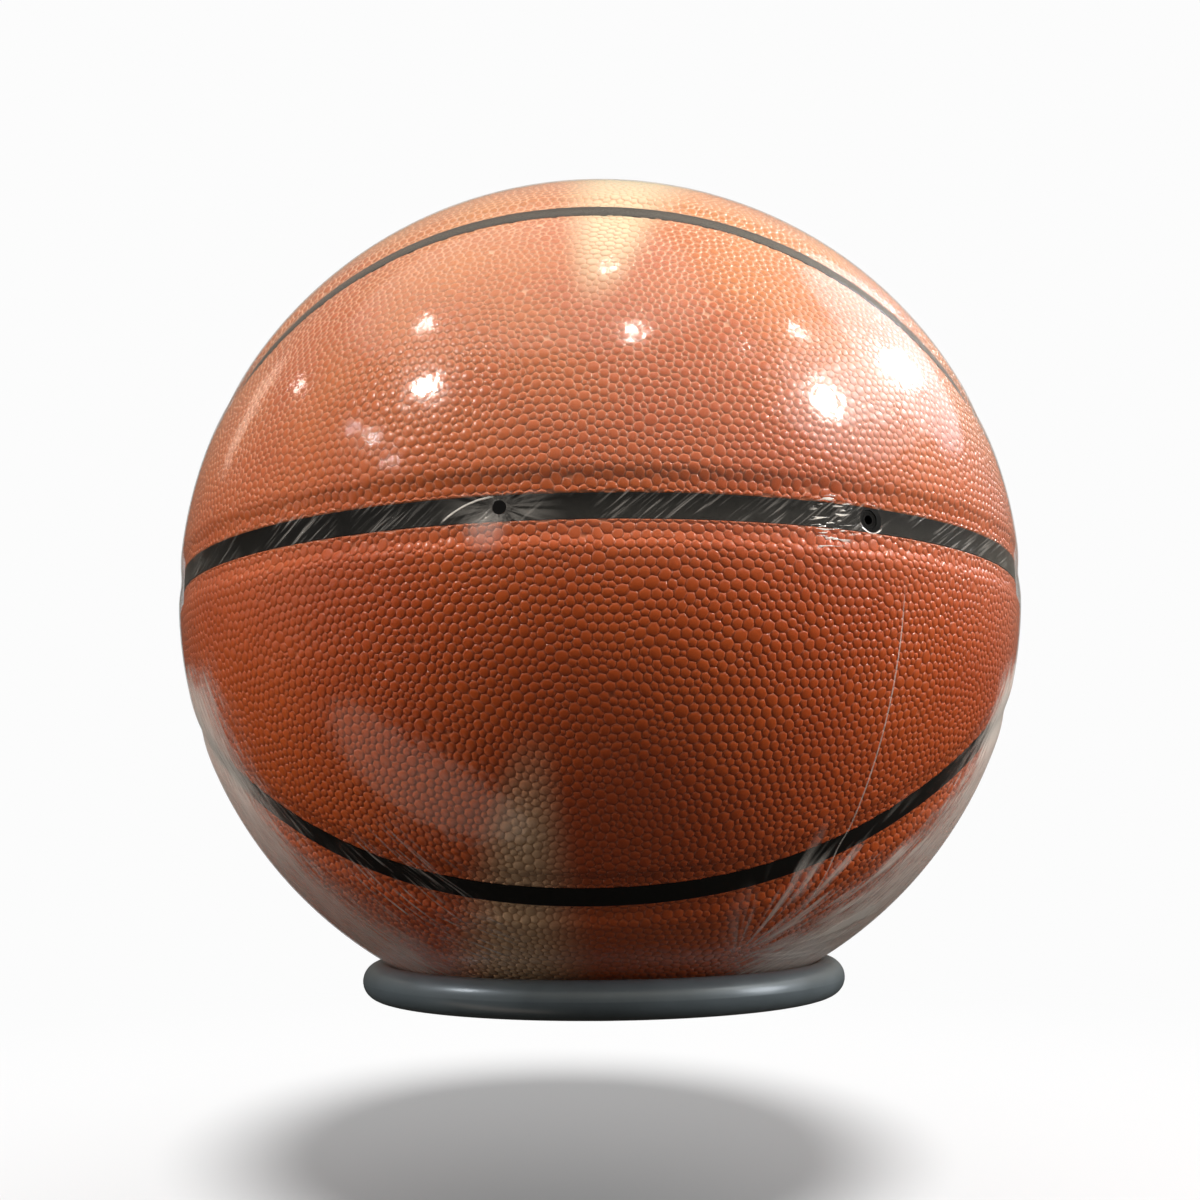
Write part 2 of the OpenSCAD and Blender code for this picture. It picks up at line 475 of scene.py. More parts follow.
# %% Colour and node helpers
def colour(hex_value):
    """Linear red, green, blue and alpha for an sRGB hex value."""
    parts = [int(hex_value[i:i + 2], 16) / 255 for i in (1, 3, 5)]
    return [c / 12.92 if c < 0.04045 else ((c + 0.055) / 1.055) ** 2.4 for c in parts] + [1.0]


def add(tree, kind, inputs=None, **settings):
    """Adds a node, makes its settings, and feeds each named input a value or another node's output."""
    made = tree.nodes.new("ShaderNode" + kind)
    for name, value in settings.items():
        setattr(made, name, value)
    for name, value in (inputs or {}).items():
        if isinstance(value, bpy.types.NodeSocket):
            tree.links.new(value, made.inputs[name])
        else:
            made.inputs[name].default_value = value
    return made


def new_material(name):
    """An empty material and its node tree."""
    made = bpy.data.materials.new(name)
    made.use_nodes = True
    made.node_tree.nodes.clear()
    return made, made.node_tree


def finish_material(tree, shader):
    add(tree, "OutputMaterial", {"Surface": shader})


def coat(piece, made):
    """Gives the piece one material."""
    piece.data.materials.clear()
    piece.data.materials.append(made)
    piece.data.polygons.foreach_set("material_index", np.zeros(len(piece.data.polygons), np.int32))


# %% [markdown]
# ## Composite leather
#
# The panels are microfibre cloth with a coat of coloured polyurethane, pressed in a heated mould. The coat is
# orange-brown and redder in slow patches. Upwards it is painted paler, as a painted sheen of the light from
# above. One flat colour would look like plastic, so the colour is built up in layers. The first is the
# ground: a blend by height that paints the sheen, with a noise for the patches.

# %% Lay the ground colour with its painted sheen
# The paler upper tone is a painted sheen: light from above painted into the coat.
PAINTED_SHEEN_UPPER, LOWER, RED_PATCH = "#D27D33", "#CC5920", "#BC4A1A"
PATCH_SIZE = 45 * MM
RED_SHARE = 0.6

leather, tree = new_material("composite leather, pebbled polyurethane")
place = add(tree, "TexCoord").outputs["Object"]
patches = add(tree, "TexNoise", {"Vector": place, "Scale": 1 / PATCH_SIZE, "Detail": 2.0})
patch = add(tree, "MapRange", {"Value": patches.outputs["Fac"], "From Min": 0.4, "From Max": 0.65})
apart = add(tree, "SeparateXYZ", {"Vector": place})
# Painted light: this height blend makes the top paler, as if lit from above, and sets how strongly the
# grooves' painted reflection shows.
painted_light_height = add(tree, "MapRange", {"Value": apart.outputs["Z"], "From Min": -0.2 * BALL_R,
                              "From Max": 0.8 * BALL_R}, interpolation_type="SMOOTHSTEP")
ground_with_painted_sheen = add(tree, "Mix", {"Factor": painted_light_height.outputs[0], 6: colour(LOWER), 7: colour(PAINTED_SHEEN_UPPER)}, data_type="RGBA")
faint = add(tree, "Math", {0: patch.outputs[0], 1: RED_SHARE}, operation="MULTIPLY")
base = add(tree, "Mix", {"Factor": faint.outputs[0], 6: ground_with_painted_sheen.outputs[2], 7: colour(RED_PATCH)},
           data_type="RGBA")
print("leather nodes for the ground:", len(tree.nodes))

# %% [markdown]
# ## The pale band
#
# A soft pale band runs up the front and the back near the top and the bottom. It widens away from the level
# channel and leans to one side. The channels stay black where it crosses them, so it is a colour of the
# leather and not a light on it. The half width grows with the distance from the level channel, and a point's
# way from the band's middle, as a share of that, tells how much of the band it gets.

# %% Paint the pale band
PALE_BAND = "#E6D3A6"
BAND_HALF, BAND_SPREAD = 3 * MM, 0.19
BAND_LEAN, BAND_SHIFT = 0.147, 3.5 * MM
BAND_FROM, BAND_FULL = 44 * MM, 72 * MM
BAND_SHARE_LOW = 0.6

lean = add(tree, "Math", {0: apart.outputs["Z"], 1: -BAND_LEAN, 2: BAND_SHIFT}, operation="MULTIPLY_ADD")
across = add(tree, "Math", {0: apart.outputs["X"], 1: lean.outputs[0]}, operation="ADD")
off_middle = add(tree, "Math", {0: across.outputs[0]}, operation="ABSOLUTE")
up = add(tree, "Math", {0: apart.outputs["Z"]}, operation="ABSOLUTE")
above = add(tree, "Math", {0: up.outputs[0], 1: BAND_FROM}, operation="SUBTRACT")
half = add(tree, "Math", {0: above.outputs[0], 1: BAND_SPREAD, 2: BAND_HALF}, operation="MULTIPLY_ADD")
share = add(tree, "Math", {0: off_middle.outputs[0], 1: half.outputs[0]}, operation="DIVIDE")
side_fade = add(tree, "MapRange", {"Value": share.outputs[0], "From Min": 0.2, "From Max": 1.6,
                                   "To Min": 1.0, "To Max": 0.0}, interpolation_type="SMOOTHSTEP")
end_fade = add(tree, "MapRange", {"Value": up.outputs[0], "From Min": BAND_FROM, "From Max": BAND_FULL},
               interpolation_type="SMOOTHSTEP")
faded = add(tree, "MapRange", {"Value": apart.outputs["Z"], "From Min": -BAND_FROM, "From Max": BAND_FROM,
                               "To Min": BAND_SHARE_LOW})
pale = add(tree, "Math", {0: side_fade.outputs[0], 1: end_fade.outputs[0]}, operation="MULTIPLY")
pale = add(tree, "Math", {0: pale.outputs[0], 1: faded.outputs[0]}, operation="MULTIPLY")
banded = add(tree, "Mix", {"Factor": pale.outputs[0], 6: base.outputs[2], 7: colour(PALE_BAND)},
             data_type="RGBA")
print("leather nodes with the band:", len(tree.nodes))

# %% [markdown]
# ## Grooves and skin
#
# Where the film clings to the top of a pebble, the leather looks deeper, as if it were wet. Over the grooves
# there is air below the film, which mirrors the light, so the grooves are painted paler: a painted
# reflection, stronger in the upper half where the light comes from above. The height that was stored in the
# grain tells where the grooves are. Skin-fine bumps break up the gloss of every pebble.

# %% Paint the grooves' reflection and finish the leather
# The pale groove colour is a painted reflection of the film over the air in the grooves, not the leather's
# own colour.
PAINTED_GROOVE_REFLECTION = "#FFC49A"
GROOVE_REFLECTION_LOW, GROOVE_REFLECTION_HIGH = 0.1, 0.9
SKIN_SIZE = 0.35 * MM

grain = add(tree, "Attribute", attribute_name="grain_height").outputs["Fac"]
groove_reflection_share = add(tree, "MapRange", {"Value": painted_light_height.outputs[0], "To Min": GROOVE_REFLECTION_LOW,
                                "To Max": GROOVE_REFLECTION_HIGH})
groove_reflection_mask = add(tree, "MapRange", {"Value": grain, "From Min": 0.4, "From Max": 0.95,
                                   "To Min": groove_reflection_share.outputs[0], "To Max": 0.0})
with_painted_groove_reflection = add(tree, "Mix", {"Factor": groove_reflection_mask.outputs[0], 6: banded.outputs[2], 7: colour(PAINTED_GROOVE_REFLECTION)},
            data_type="RGBA")
skin = add(tree, "TexNoise", {"Vector": place, "Scale": 1 / SKIN_SIZE, "Detail": 3.0})
bump = add(tree, "Bump", {"Height": skin.outputs["Fac"], "Strength": 0.3, "Distance": 0.05 * MM})
shader = add(tree, "BsdfPrincipled", {"Base Color": with_painted_groove_reflection.outputs[2], "Roughness": 0.5,
                                      "Specular IOR Level": 0.15, "Coat Weight": 0.8,
                                      "Coat Roughness": 0.23, "Normal": bump.outputs[0]})
finish_material(tree, shader.outputs[0])
for panel in panels:
    coat(panel, leather)
print("leather nodes:", len(tree.nodes))

# %% [markdown]
# ## Rubber
#
# The strips in the channels are black rubber, the carcass is a greyer one, the bladder is butyl, and the
# valve is soft rubber. Only the strips and the valve show through the film, but every layer gets the finish
# of its own material. Rubber is dusted with talc so that it doesn't stick, and a little stays on it. The four
# differ in colour, shine and speck, so one function mixes them all.

# %% Mix the rubbers
def rubber(name, tone, dust, roughness, speck):
    """Moulded rubber with a slight dust of talc in slow patches."""
    made, tree = new_material(name)
    place = add(tree, "TexCoord").outputs["Object"]
    cloud = add(tree, "TexNoise", {"Vector": place, "Scale": 1 / (12 * MM), "Detail": 3.0})
    amount = add(tree, "MapRange", {"Value": cloud.outputs["Fac"], "From Min": 0.45, "From Max": 0.75,
                                    "To Max": 0.6})
    tint = add(tree, "Mix", {"Factor": amount.outputs[0], 6: colour(tone), 7: colour(dust)},
               data_type="RGBA")
    fine = add(tree, "TexNoise", {"Vector": place, "Scale": 1 / speck, "Detail": 2.0})
    bump = add(tree, "Bump", {"Height": fine.outputs["Fac"], "Strength": 0.1, "Distance": 0.05 * MM})
    shader = add(tree, "BsdfPrincipled", {"Base Color": tint.outputs[2], "Roughness": roughness,
                                          "Specular IOR Level": 0.2,
                                          "Normal": bump.outputs[0]})
    finish_material(tree, shader.outputs[0])
    return made


strip_rubber = rubber("channel rubber, black", "#080808", "#121213", 0.5, 0.5 * MM)
carcass_rubber = rubber("carcass rubber, dark grey", "#1C1B1A", "#2A2826", 0.7, 0.8 * MM)
butyl = rubber("butyl rubber, black", "#141414", "#232323", 0.6, 1.2 * MM)
valve_rubber = rubber("valve rubber, soft black", "#0B0B0B", "#171717", 0.4, 0.4 * MM)
print("rubbers:", "; ".join(made.name for made in (strip_rubber, carcass_rubber, butyl, valve_rubber)))

# %% [markdown]
# ## Nylon yarn
#
# The winding is nylon yarn, wound round the bladder and glued. It lies hidden between two layers, so a wave
# texture that is turned out of the axes is enough to stand for its turns.

# %% Make the yarn and give out the finishes
yarn, tree = new_material("nylon yarn, wound and glued")
place = add(tree, "TexCoord").outputs["Object"]
turned = add(tree, "Mapping", {"Vector": place, "Rotation": (0.6, 0.3, 0.9)})
threads = add(tree, "TexWave", {"Vector": turned.outputs[0], "Scale": 1 / (1.2 * MM * 6.3),
                                "Distortion": 2.0, "Detail": 2.0})
tint = add(tree, "Mix", {"Factor": threads.outputs["Fac"], 6: colour("#B9B4A6"), 7: colour("#E2DED2")},
           data_type="RGBA")
bump = add(tree, "Bump", {"Height": threads.outputs["Fac"], "Strength": 0.6, "Distance": 0.2 * MM})
shader = add(tree, "BsdfPrincipled", {"Base Color": tint.outputs[2], "Roughness": 0.65,
                                      "Normal": bump.outputs[0]})
finish_material(tree, shader.outputs[0])

FINISH_OF = {"level_channel": strip_rubber, "upright_channel": strip_rubber, "top_channel": strip_rubber,
             "bottom_channel": strip_rubber, "carcass": carcass_rubber, "bladder": butyl,
             "valve_body": valve_rubber, "valve_core": valve_rubber, "nylon_winding": yarn}
for name, made in FINISH_OF.items():
    coat(nodes[name], made)
print("pieces finished:", len(FINISH_OF))

# %% [markdown]
# ## Clear film
#
# Polyolefin film lets light through and mirrors a few hundredths of it, more at a glancing angle. A
# Transparent shader and a metallic one are mixed by the angle of view, which is cheap to render and true to a
# film this thin. The film lies on the pebbles, so its surface swells a little over each of them.
#
# Where the film had to shrink most, it keeps fine creases that scatter light and look milky. A patch of them
# is a pattern of lines times a soft round mask that tells where the patch lies. The places are given as two
# angles and the sizes in millimetres, and each pattern is a value from 0 to 1.

# %% Masks and sums
clear, tree = new_material("polyolefin shrink film, clear")
place = add(tree, "TexCoord").outputs["Object"]


def at(azimuth, height, radius=FILM_R):
    """A point on the film, by its angle from the front towards +X and its height, in degrees."""
    return Vector(towards(azimuth, height)) * radius


def product(first, *others):
    for other in others:
        first = add(tree, "Math", {0: first, 1: other}, operation="MULTIPLY").outputs[0]
    return first


def total(first, *others):
    for other in others:
        first = add(tree, "Math", {0: first, 1: other}, operation="ADD").outputs[0]
    return first


def spot_mask(middle, inner, outer):
    """1 within inner of the middle, fading to 0 at outer."""
    away = add(tree, "VectorMath", {0: place, 1: at(*middle)}, operation="DISTANCE")
    return add(tree, "MapRange", {"Value": away.outputs["Value"], "From Min": inner * MM,
                                  "From Max": outer * MM, "To Min": 1.0, "To Max": 0.0},
               interpolation_type="SMOOTHSTEP").outputs[0]


# %% [markdown]
# ## Lines in the film
#
# A noise that is squeezed across a direction turns into fine lines along it. Read by the direction from a
# middle instead, it turns into rays. Only the noise's values between low and high count, and they set how
# many lines show and how sharp they are. A thin circle needs no noise: it lies at one distance from its
# middle.

# %% Patterns for creases
def creases(start, end, width, length, low, high):
    """Fine lines in the direction from start to end. The noise's values from low to high become 0 to 1."""
    start, end = at(*start), at(*end)
    along = (end - start).normalized()
    over = along.cross(start.normalized())
    u = add(tree, "VectorMath", {0: place, 1: along / (length * MM)}, operation="DOT_PRODUCT")
    v = add(tree, "VectorMath", {0: place, 1: over / (width * MM)}, operation="DOT_PRODUCT")
    flat = add(tree, "CombineXYZ", {"X": u.outputs["Value"], "Y": v.outputs["Value"]})
    lines = add(tree, "TexNoise", {"Vector": flat.outputs[0], "Scale": 1.0, "Detail": 2.0,
                                   "Distortion": 0.5})
    return add(tree, "MapRange", {"Value": lines.outputs["Fac"], "From Min": low,
                                  "From Max": high}).outputs[0]


def rays(middle, count, low, high):
    """Fine lines that spread from the middle to all sides."""
    off = add(tree, "VectorMath", {0: place, 1: at(*middle)}, operation="SUBTRACT")
    way = add(tree, "VectorMath", {0: off.outputs[0]}, operation="NORMALIZE")
    lines = add(tree, "TexNoise", {"Vector": way.outputs[0], "Scale": count, "Detail": 3.0})
    return add(tree, "MapRange", {"Value": lines.outputs["Fac"], "From Min": low,
                                  "From Max": high}).outputs[0]


def thin_circle(middle, r, half):
    """A thin line round the middle, at the distance r from it and twice half wide."""
    away = add(tree, "VectorMath", {0: place, 1: at(*middle)}, operation="DISTANCE")
    off = add(tree, "Math", {0: away.outputs["Value"], 1: r * MM}, operation="SUBTRACT")
    off = add(tree, "Math", {0: off.outputs[0]}, operation="ABSOLUTE")
    return add(tree, "MapRange", {"Value": off.outputs[0], "From Min": half * MM, "From Max": 2 * half * MM,
                                  "To Min": 1.0, "To Max": 0.0}).outputs[0]


# %% [markdown]
# ## Haze low on both sides
#
# Low on the left and right the film's finest creases run together into a haze. It shows where the film is
# seen at a glancing angle, which Layer Weight tells, and hardly where it is seen straight on. The haze begins
# where the ball turns away from the front and below an uneven height, and fades towards the back. Its border
# breaks up into hair-fine lines. On the left it thins out below the curved channel.

# %% Lay the haze
HAZE_TOP, HAZE_FULL = 0.24, 0.4
UNEVEN_SIZE, UNEVEN_SHARE = 14 * MM, 0.2
FRONT = at(2, -10, 1 / FILM_R)

apart = add(tree, "SeparateXYZ", {"Vector": place})
forward = add(tree, "VectorMath", {0: place, 1: FRONT}, operation="DOT_PRODUCT").outputs["Value"]
fall = product(apart.outputs["Z"], -1 / FILM_R)
uneven = add(tree, "TexNoise", {"Vector": place, "Scale": 1 / UNEVEN_SIZE, "Detail": 2.0})
uneven_fall = total(fall, product(uneven.outputs["Fac"], UNEVEN_SHARE))
low_down = add(tree, "MapRange", {"Value": uneven_fall, "From Min": HAZE_TOP, "From Max": HAZE_FULL},
               interpolation_type="SMOOTHSTEP").outputs[0]
before_back = add(tree, "MapRange", {"Value": forward, "From Min": -0.1, "From Max": 0.2},
                  interpolation_type="SMOOTHSTEP").outputs[0]
turned_away = add(tree, "LayerWeight")
glancing = add(tree, "MapRange", {"Value": turned_away.outputs["Facing"], "From Min": 0.45,
                                  "From Max": 0.72, "To Min": 0.15}).outputs[0]


def round_side(side, start, slope):
    """1 round the side of the ball, on the lower half, and 0 on its front and back."""
    border = total(product(fall, slope), start)
    inward = add(tree, "Math", {0: border, 1: forward}, operation="SUBTRACT")
    edge = add(tree, "MapRange", {"Value": inward.outputs[0], "From Min": -0.06, "From Max": 0.14})
    sideward = add(tree, "MapRange", {"Value": product(apart.outputs["X"], side), "From Min": 20 * MM,
                                      "From Max": 45 * MM})
    return product(edge.outputs[0], sideward.outputs[0], product(low_down, before_back))


def fringed(mask, lines):
    """A patch whose border breaks up into the lines."""
    both = total(product(mask, 1.2), product(lines, 0.8))
    return add(tree, "MapRange", {"Value": both, "From Min": 0.75, "From Max": 1.9},
               interpolation_type="SMOOTHSTEP").outputs[0]


left = fringed(round_side(-1, 0.58, 0.14), creases((-56, -17), (-44, -45), 0.45, 12, 0.35, 0.65))
thinner = add(tree, "MapRange", {"Value": fall, "From Min": 0.5, "From Max": 0.72, "To Min": 1.0,
                                 "To Max": 0.55})
left = product(left, thinner.outputs[0])
right = total(round_side(1, 0.41, 0.36), product(spot_mask((72, -19), 4, 20), 0.45))
right = fringed(right, creases((64, -18), (46, -46), 0.6, 9, 0.35, 0.65))
haze = product(total(product(left, 0.68), product(right, 0.72)), glancing)
print("film nodes for the haze:", len(tree.nodes))

# %% [markdown]
# ## Tufts and a fan
#
# These creases show from every side. Low on the left there are two tufts of hair-fine lines, and low on the
# right a fan spreads from the ring.

# %% Draw the tufts and the fan
hairs = total(product(spot_mask((-29, -42), 8, 22), creases((-34, -37), (-27, -46), 0.3, 24, 0.6, 0.66)),
              product(spot_mask((-20.5, -50.5), 4, 14), creases((-29, -46), (-14, -54), 0.3, 20, 0.58, 0.66)))
fan = product(spot_mask((46, -46), 12, 36), rays((29.6, -55), 8.0, 0.49, 0.64))
print("film nodes with the tufts and the fan:", len(tree.nodes))

# %% [markdown]
# ## Creases over the level channel
#
# Here the film hangs free, so its creases show best: slanting streaks, wrinkles round the left vent, a crease
# that bends round it, one that curls round the valve's vent, and a smear. Left of the valve, short lines of
# pale milk along the channel stand for torn film and paint its glints.

# %% Draw the creases over the channel
off_level = add(tree, "Math", {0: apart.outputs["Z"]}, operation="ABSOLUTE")
on_band = add(tree, "MapRange", {"Value": off_level.outputs[0], "From Min": CHANNEL_HALF,
                                 "From Max": CHANNEL_HALF + 0.8 * MM, "To Min": 1.0, "To Max": 0.0})
patchy = add(tree, "TexNoise", {"Vector": place, "Scale": 1 / (16 * MM), "Detail": 1.0})
some = add(tree, "MapRange", {"Value": patchy.outputs["Fac"], "From Min": 0.36, "From Max": 0.56})
streaks = product(creases((-5, -3), (2, 3), 0.6, 14, 0.54, 0.66), some.outputs[0])
wrinkles = product(spot_mask((-8, 0), 4, 16), rays((-8, 0), 9.0, 0.42, 0.7))
banded = product(on_band.outputs[0], total(product(streaks, 0.12), product(wrinkles, 0.13)))

bent = product(thin_circle((-7.9, -8.4), 20, 0.14), spot_mask((-11.5, 0.2), 4, 7))
curled = product(thin_circle((33, 0.6), 4.4, 0.14), spot_mask((33, -2.4), 2.5, 4.5))
smear = product(spot_mask((-9.5, -2.4), 1, 6), 0.13)
# Painted glints: short lines of pale milk stand for torn film and paint its glints.
torn_film_painted_glints = product(total(spot_mask((28, -0.5), 2, 7), spot_mask((27, -3.2), 0.5, 3.5)),
               creases((24, -0.6), (33, 0.2), 0.7, 6, 0.57, 0.62))
print("film nodes with the channel's creases:", len(tree.nodes))

# %% [markdown]
# ## The sealed seam
#
# The film was closed along a straight weld before it shrank. The weld runs down beside the valve as a thin
# line in an upright plane, so the distance from that plane draws it as pale milk: partly the weld itself and
# partly a painted glint along it. Then all the patterns are added up, and the sum is held a little below 1,
# so that no crease is wholly solid.

# %% Draw the seam and add up the creases
SEAL_ANGLE = 37.8
SEAL_HALF = 0.05 * MM
MOST_MILK = 0.9

sealed = add(tree, "VectorMath", {0: place, 1: at(SEAL_ANGLE + 90, 0, 1.0)}, operation="DOT_PRODUCT")
off_seal = add(tree, "Math", {0: sealed.outputs["Value"]}, operation="ABSOLUTE")
# The weld is drawn as pale milk: partly the weld and partly a painted glint along it.
weld_line_painted_glint = add(tree, "MapRange", {"Value": off_seal.outputs[0], "From Min": SEAL_HALF,
                                   "From Max": 2 * SEAL_HALF, "To Min": 0.7, "To Max": 0.0})
weld_with_painted_glint = product(weld_line_painted_glint.outputs[0], spot_mask((SEAL_ANGLE, -28), 30, 48))

milk = total(haze, total(product(hairs, 0.65), product(fan, 0.6)), banded,
             total(product(total(bent, curled), 0.8), product(torn_film_painted_glints, 1.8), smear), weld_with_painted_glint)
milk = add(tree, "Math", {0: milk, 1: MOST_MILK}, operation="MINIMUM").outputs[0]
print("film nodes for all creases:", len(tree.nodes))

# %% [markdown]
# ## The film's shader
#
# The surface swells over each pebble and is a little slack between them, and every crease stands up. The
# milky value mixes a pale rough plastic into the clear film, and the angle of view mixes in the mirror: 3 %
# straight on and half at the rim.

# %% Make the film's shader
PEBBLE_PITCH = 2.3 * MM
SLACK_SIZE = 5 * MM

swell = add(tree, "TexVoronoi", {"Vector": place, "Scale": 1 / PEBBLE_PITCH}, feature="F1")
slack = add(tree, "TexNoise", {"Vector": place, "Scale": 1 / SLACK_SIZE, "Detail": 3.0})
over = add(tree, "Bump", {"Height": swell.outputs["Distance"], "Strength": 0.25, "Distance": 0.12 * MM},
           invert=True)
loose = add(tree, "Bump", {"Height": slack.outputs["Fac"], "Strength": 0.25, "Distance": 0.5 * MM,
                           "Normal": over.outputs[0]})
relief = add(tree, "Bump", {"Height": milk, "Strength": 0.6, "Distance": 0.5 * MM,
                            "Normal": loose.outputs[0]})
facing = add(tree, "LayerWeight", {"Normal": relief.outputs[0]})
steep = add(tree, "Math", {0: facing.outputs["Facing"], 1: 5.0}, operation="POWER")
mirror = add(tree, "MapRange", {"Value": steep.outputs[0], "To Min": 0.032, "To Max": 0.5})
gloss = add(tree, "BsdfPrincipled", {"Base Color": colour("#FFFFFF"), "Metallic": 1.0, "Roughness": 0.12,
                                     "Normal": relief.outputs[0]})
crease = add(tree, "BsdfPrincipled", {"Base Color": colour("#FFF6EA"), "Roughness": 0.3,
                                      "Normal": relief.outputs[0]})
through = add(tree, "BsdfTransparent")
hazed = add(tree, "MixShader", {0: milk, 1: through.outputs[0], 2: crease.outputs[0]})
mixed = add(tree, "MixShader", {0: mirror.outputs[0], 1: hazed.outputs[0], 2: gloss.outputs[0]})
finish_material(tree, mixed.outputs[0])
coat(film, clear)
print("film nodes:", len(tree.nodes))

# %% [markdown]
# ## Display ring
#
# The ring is round steel bar with a satin grey lacquer. Light from both sides makes its ends paler than its
# middle, and the lacquer shows narrow soft highlights along the bar.

# %% Make the ring's finish
ring_metal, tree = new_material("steel bar, satin grey lacquer")
place = add(tree, "TexCoord").outputs["Object"]
cloud = add(tree, "TexNoise", {"Vector": place, "Scale": 1 / (7 * MM), "Detail": 4.0})
tint = add(tree, "Mix", {"Factor": cloud.outputs["Fac"], 6: colour("#596164"), 7: colour("#6E777A")},
           data_type="RGBA")
worn = add(tree, "MapRange", {"Value": cloud.outputs["Fac"], "To Min": 0.34, "To Max": 0.46})
fine = add(tree, "TexNoise", {"Vector": place, "Scale": 1 / (0.4 * MM), "Detail": 2.0})
bump = add(tree, "Bump", {"Height": fine.outputs["Fac"], "Strength": 0.15, "Distance": 0.03 * MM})
shader = add(tree, "BsdfPrincipled", {"Base Color": tint.outputs[2], "Metallic": 0.3,
                                      "Roughness": worn.outputs[0], "Coat Weight": 0.5,
                                      "Coat Roughness": 0.18, "Normal": bump.outputs[0]})
finish_material(tree, shader.outputs[0])
coat(nodes["display_ring"], ring_metal)
print("ring nodes:", len(tree.nodes))

# %% [markdown]
# ## Camera
#
# The photograph was taken from close by and a little below the middle of the ball: the level channel bends
# upwards and the ring shows its underside. The ball's outline and the channels give the distance, the angle
# and the lens.

# %% Place the camera
IMAGE = 1200
SENSOR = 36.0
OUTLINE_PX = 421.2
CAMERA_AZIMUTH, CAMERA_HEIGHT, CAMERA_ROLL = 2.3, -9.8, -0.6
CAMERA_DISTANCE = 3.4 * FILM_R
focal_px = OUTLINE_PX * math.sqrt((CAMERA_DISTANCE / FILM_R) ** 2 - 1)

bpy.ops.object.camera_add(location=CAMERA_DISTANCE * Vector(towards(CAMERA_AZIMUTH, CAMERA_HEIGHT)))
camera = bpy.context.object
aim = (-camera.location).to_track_quat("-Z", "Y").to_matrix()
camera.rotation_euler = (aim @ Matrix.Rotation(math.radians(CAMERA_ROLL), 3, "Z")).to_euler()
camera.data.sensor_width = SENSOR
camera.data.lens = focal_px * SENSOR / IMAGE
camera.data.clip_start = 0.01
bpy.context.scene.camera = camera
bpy.context.view_layer.update()
print(f"lens {camera.data.lens:.1f} mm, distance {CAMERA_DISTANCE:.3f} m")

# %% [markdown]
# ## Floor
#
# The floor is white where the camera sees it and dark for the light that bounces from it, as in a shop with a
# dark floor whose picture was cut out. Far from the ball it fades into the white background, so no horizon
# shows, and from below it is clear, so that the ball shows from there too. The Light Path node tells the
# camera's rays from the others.

# %% Lay the floor
FLOOR_Z = -183 * MM
bpy.ops.object.select_all(action="DESELECT")
bpy.ops.mesh.primitive_plane_add(size=6.0, location=(0, 0, FLOOR_Z))
floor = bpy.context.object
floor.name = "floor"
bpy.ops.object.transform_apply()
floor.visible_glossy = False
white, tree = new_material("white floor")
place = add(tree, "TexCoord").outputs["Object"]
far = add(tree, "VectorMath", {0: place}, operation="LENGTH")
fade = add(tree, "MapRange", {"Value": far.outputs["Value"], "From Min": 0.3, "From Max": 0.7},
           interpolation_type="SMOOTHSTEP")
lit = add(tree, "BsdfDiffuse", {"Color": colour("#D2D2D2")})
glow = add(tree, "Emission", {"Color": colour("#525252")})
near_ball = add(tree, "AddShader", {0: lit.outputs[0], 1: glow.outputs[0]})
open_white = add(tree, "Emission", {"Color": colour("#FCFCFC")})
seen = add(tree, "MixShader", {0: fade.outputs[0], 1: near_ball.outputs[0], 2: open_white.outputs[0]})
unseen = add(tree, "BsdfDiffuse", {"Color": colour("#3A3735")})
ray = add(tree, "LightPath")
both = add(tree, "MixShader", {0: ray.outputs["Is Camera Ray"], 1: unseen.outputs[0], 2: seen.outputs[0]})
from_below = add(tree, "NewGeometry").outputs["Backfacing"]
through = add(tree, "BsdfTransparent")
one_way = add(tree, "MixShader", {0: from_below, 1: both.outputs[0], 2: through.outputs[0]})
finish_material(tree, one_way.outputs[0])
coat(floor, white)
print("floor nodes:", len(tree.nodes))

# %% [markdown]
# ## Surroundings
#
# The film mirrors whatever is round it, so even a dim room shows in it. The room is brighter overhead and to
# the right, and a little warm where the film mirrors it. The camera sees plain white in its place.

# %% Light the room
world = bpy.data.worlds.new("dim room with a white background")
bpy.context.scene.world = world
world.use_nodes = True
tree = world.node_tree
tree.nodes.clear()
place = add(tree, "TexCoord").outputs["Generated"]
apart = add(tree, "SeparateXYZ", {"Vector": place})
level = add(tree, "MapRange", {"Value": apart.outputs["Z"], "From Min": -0.2, "From Max": 1.0, "To Min": 0.03,
                               "To Max": 0.75}, interpolation_type="SMOOTHSTEP")
lateral = add(tree, "MapRange", {"Value": apart.outputs["X"], "From Min": -1.0, "From Max": 1.0,
                                 "To Min": 0.3, "To Max": 1.5})
strength = add(tree, "Math", {0: level.outputs[0], 1: lateral.outputs[0]}, operation="MULTIPLY")
ray = add(tree, "LightPath")
tone = add(tree, "Mix", {"Factor": ray.outputs["Is Glossy Ray"], 6: colour("#FFFFFF"), 7: colour("#FAEFDC")},
           data_type="RGBA")
room = add(tree, "Background", {"Color": tone.outputs[2], "Strength": strength.outputs[0]})
backdrop = add(tree, "Background", {"Color": colour("#FCFCFC")})
both = add(tree, "MixShader", {0: ray.outputs["Is Camera Ray"], 1: room.outputs[0], 2: backdrop.outputs[0]})
add(tree, "OutputWorld", {"Surface": both.outputs[0]})
print("room nodes:", len(tree.nodes))

# %% [markdown]
# ## Tools for lamps
#
# Light linking says which pieces a lamp lights, through a collection that is linked to the lamp. Only the
# distant lamp lights the floor, so that no other adds a shadow.

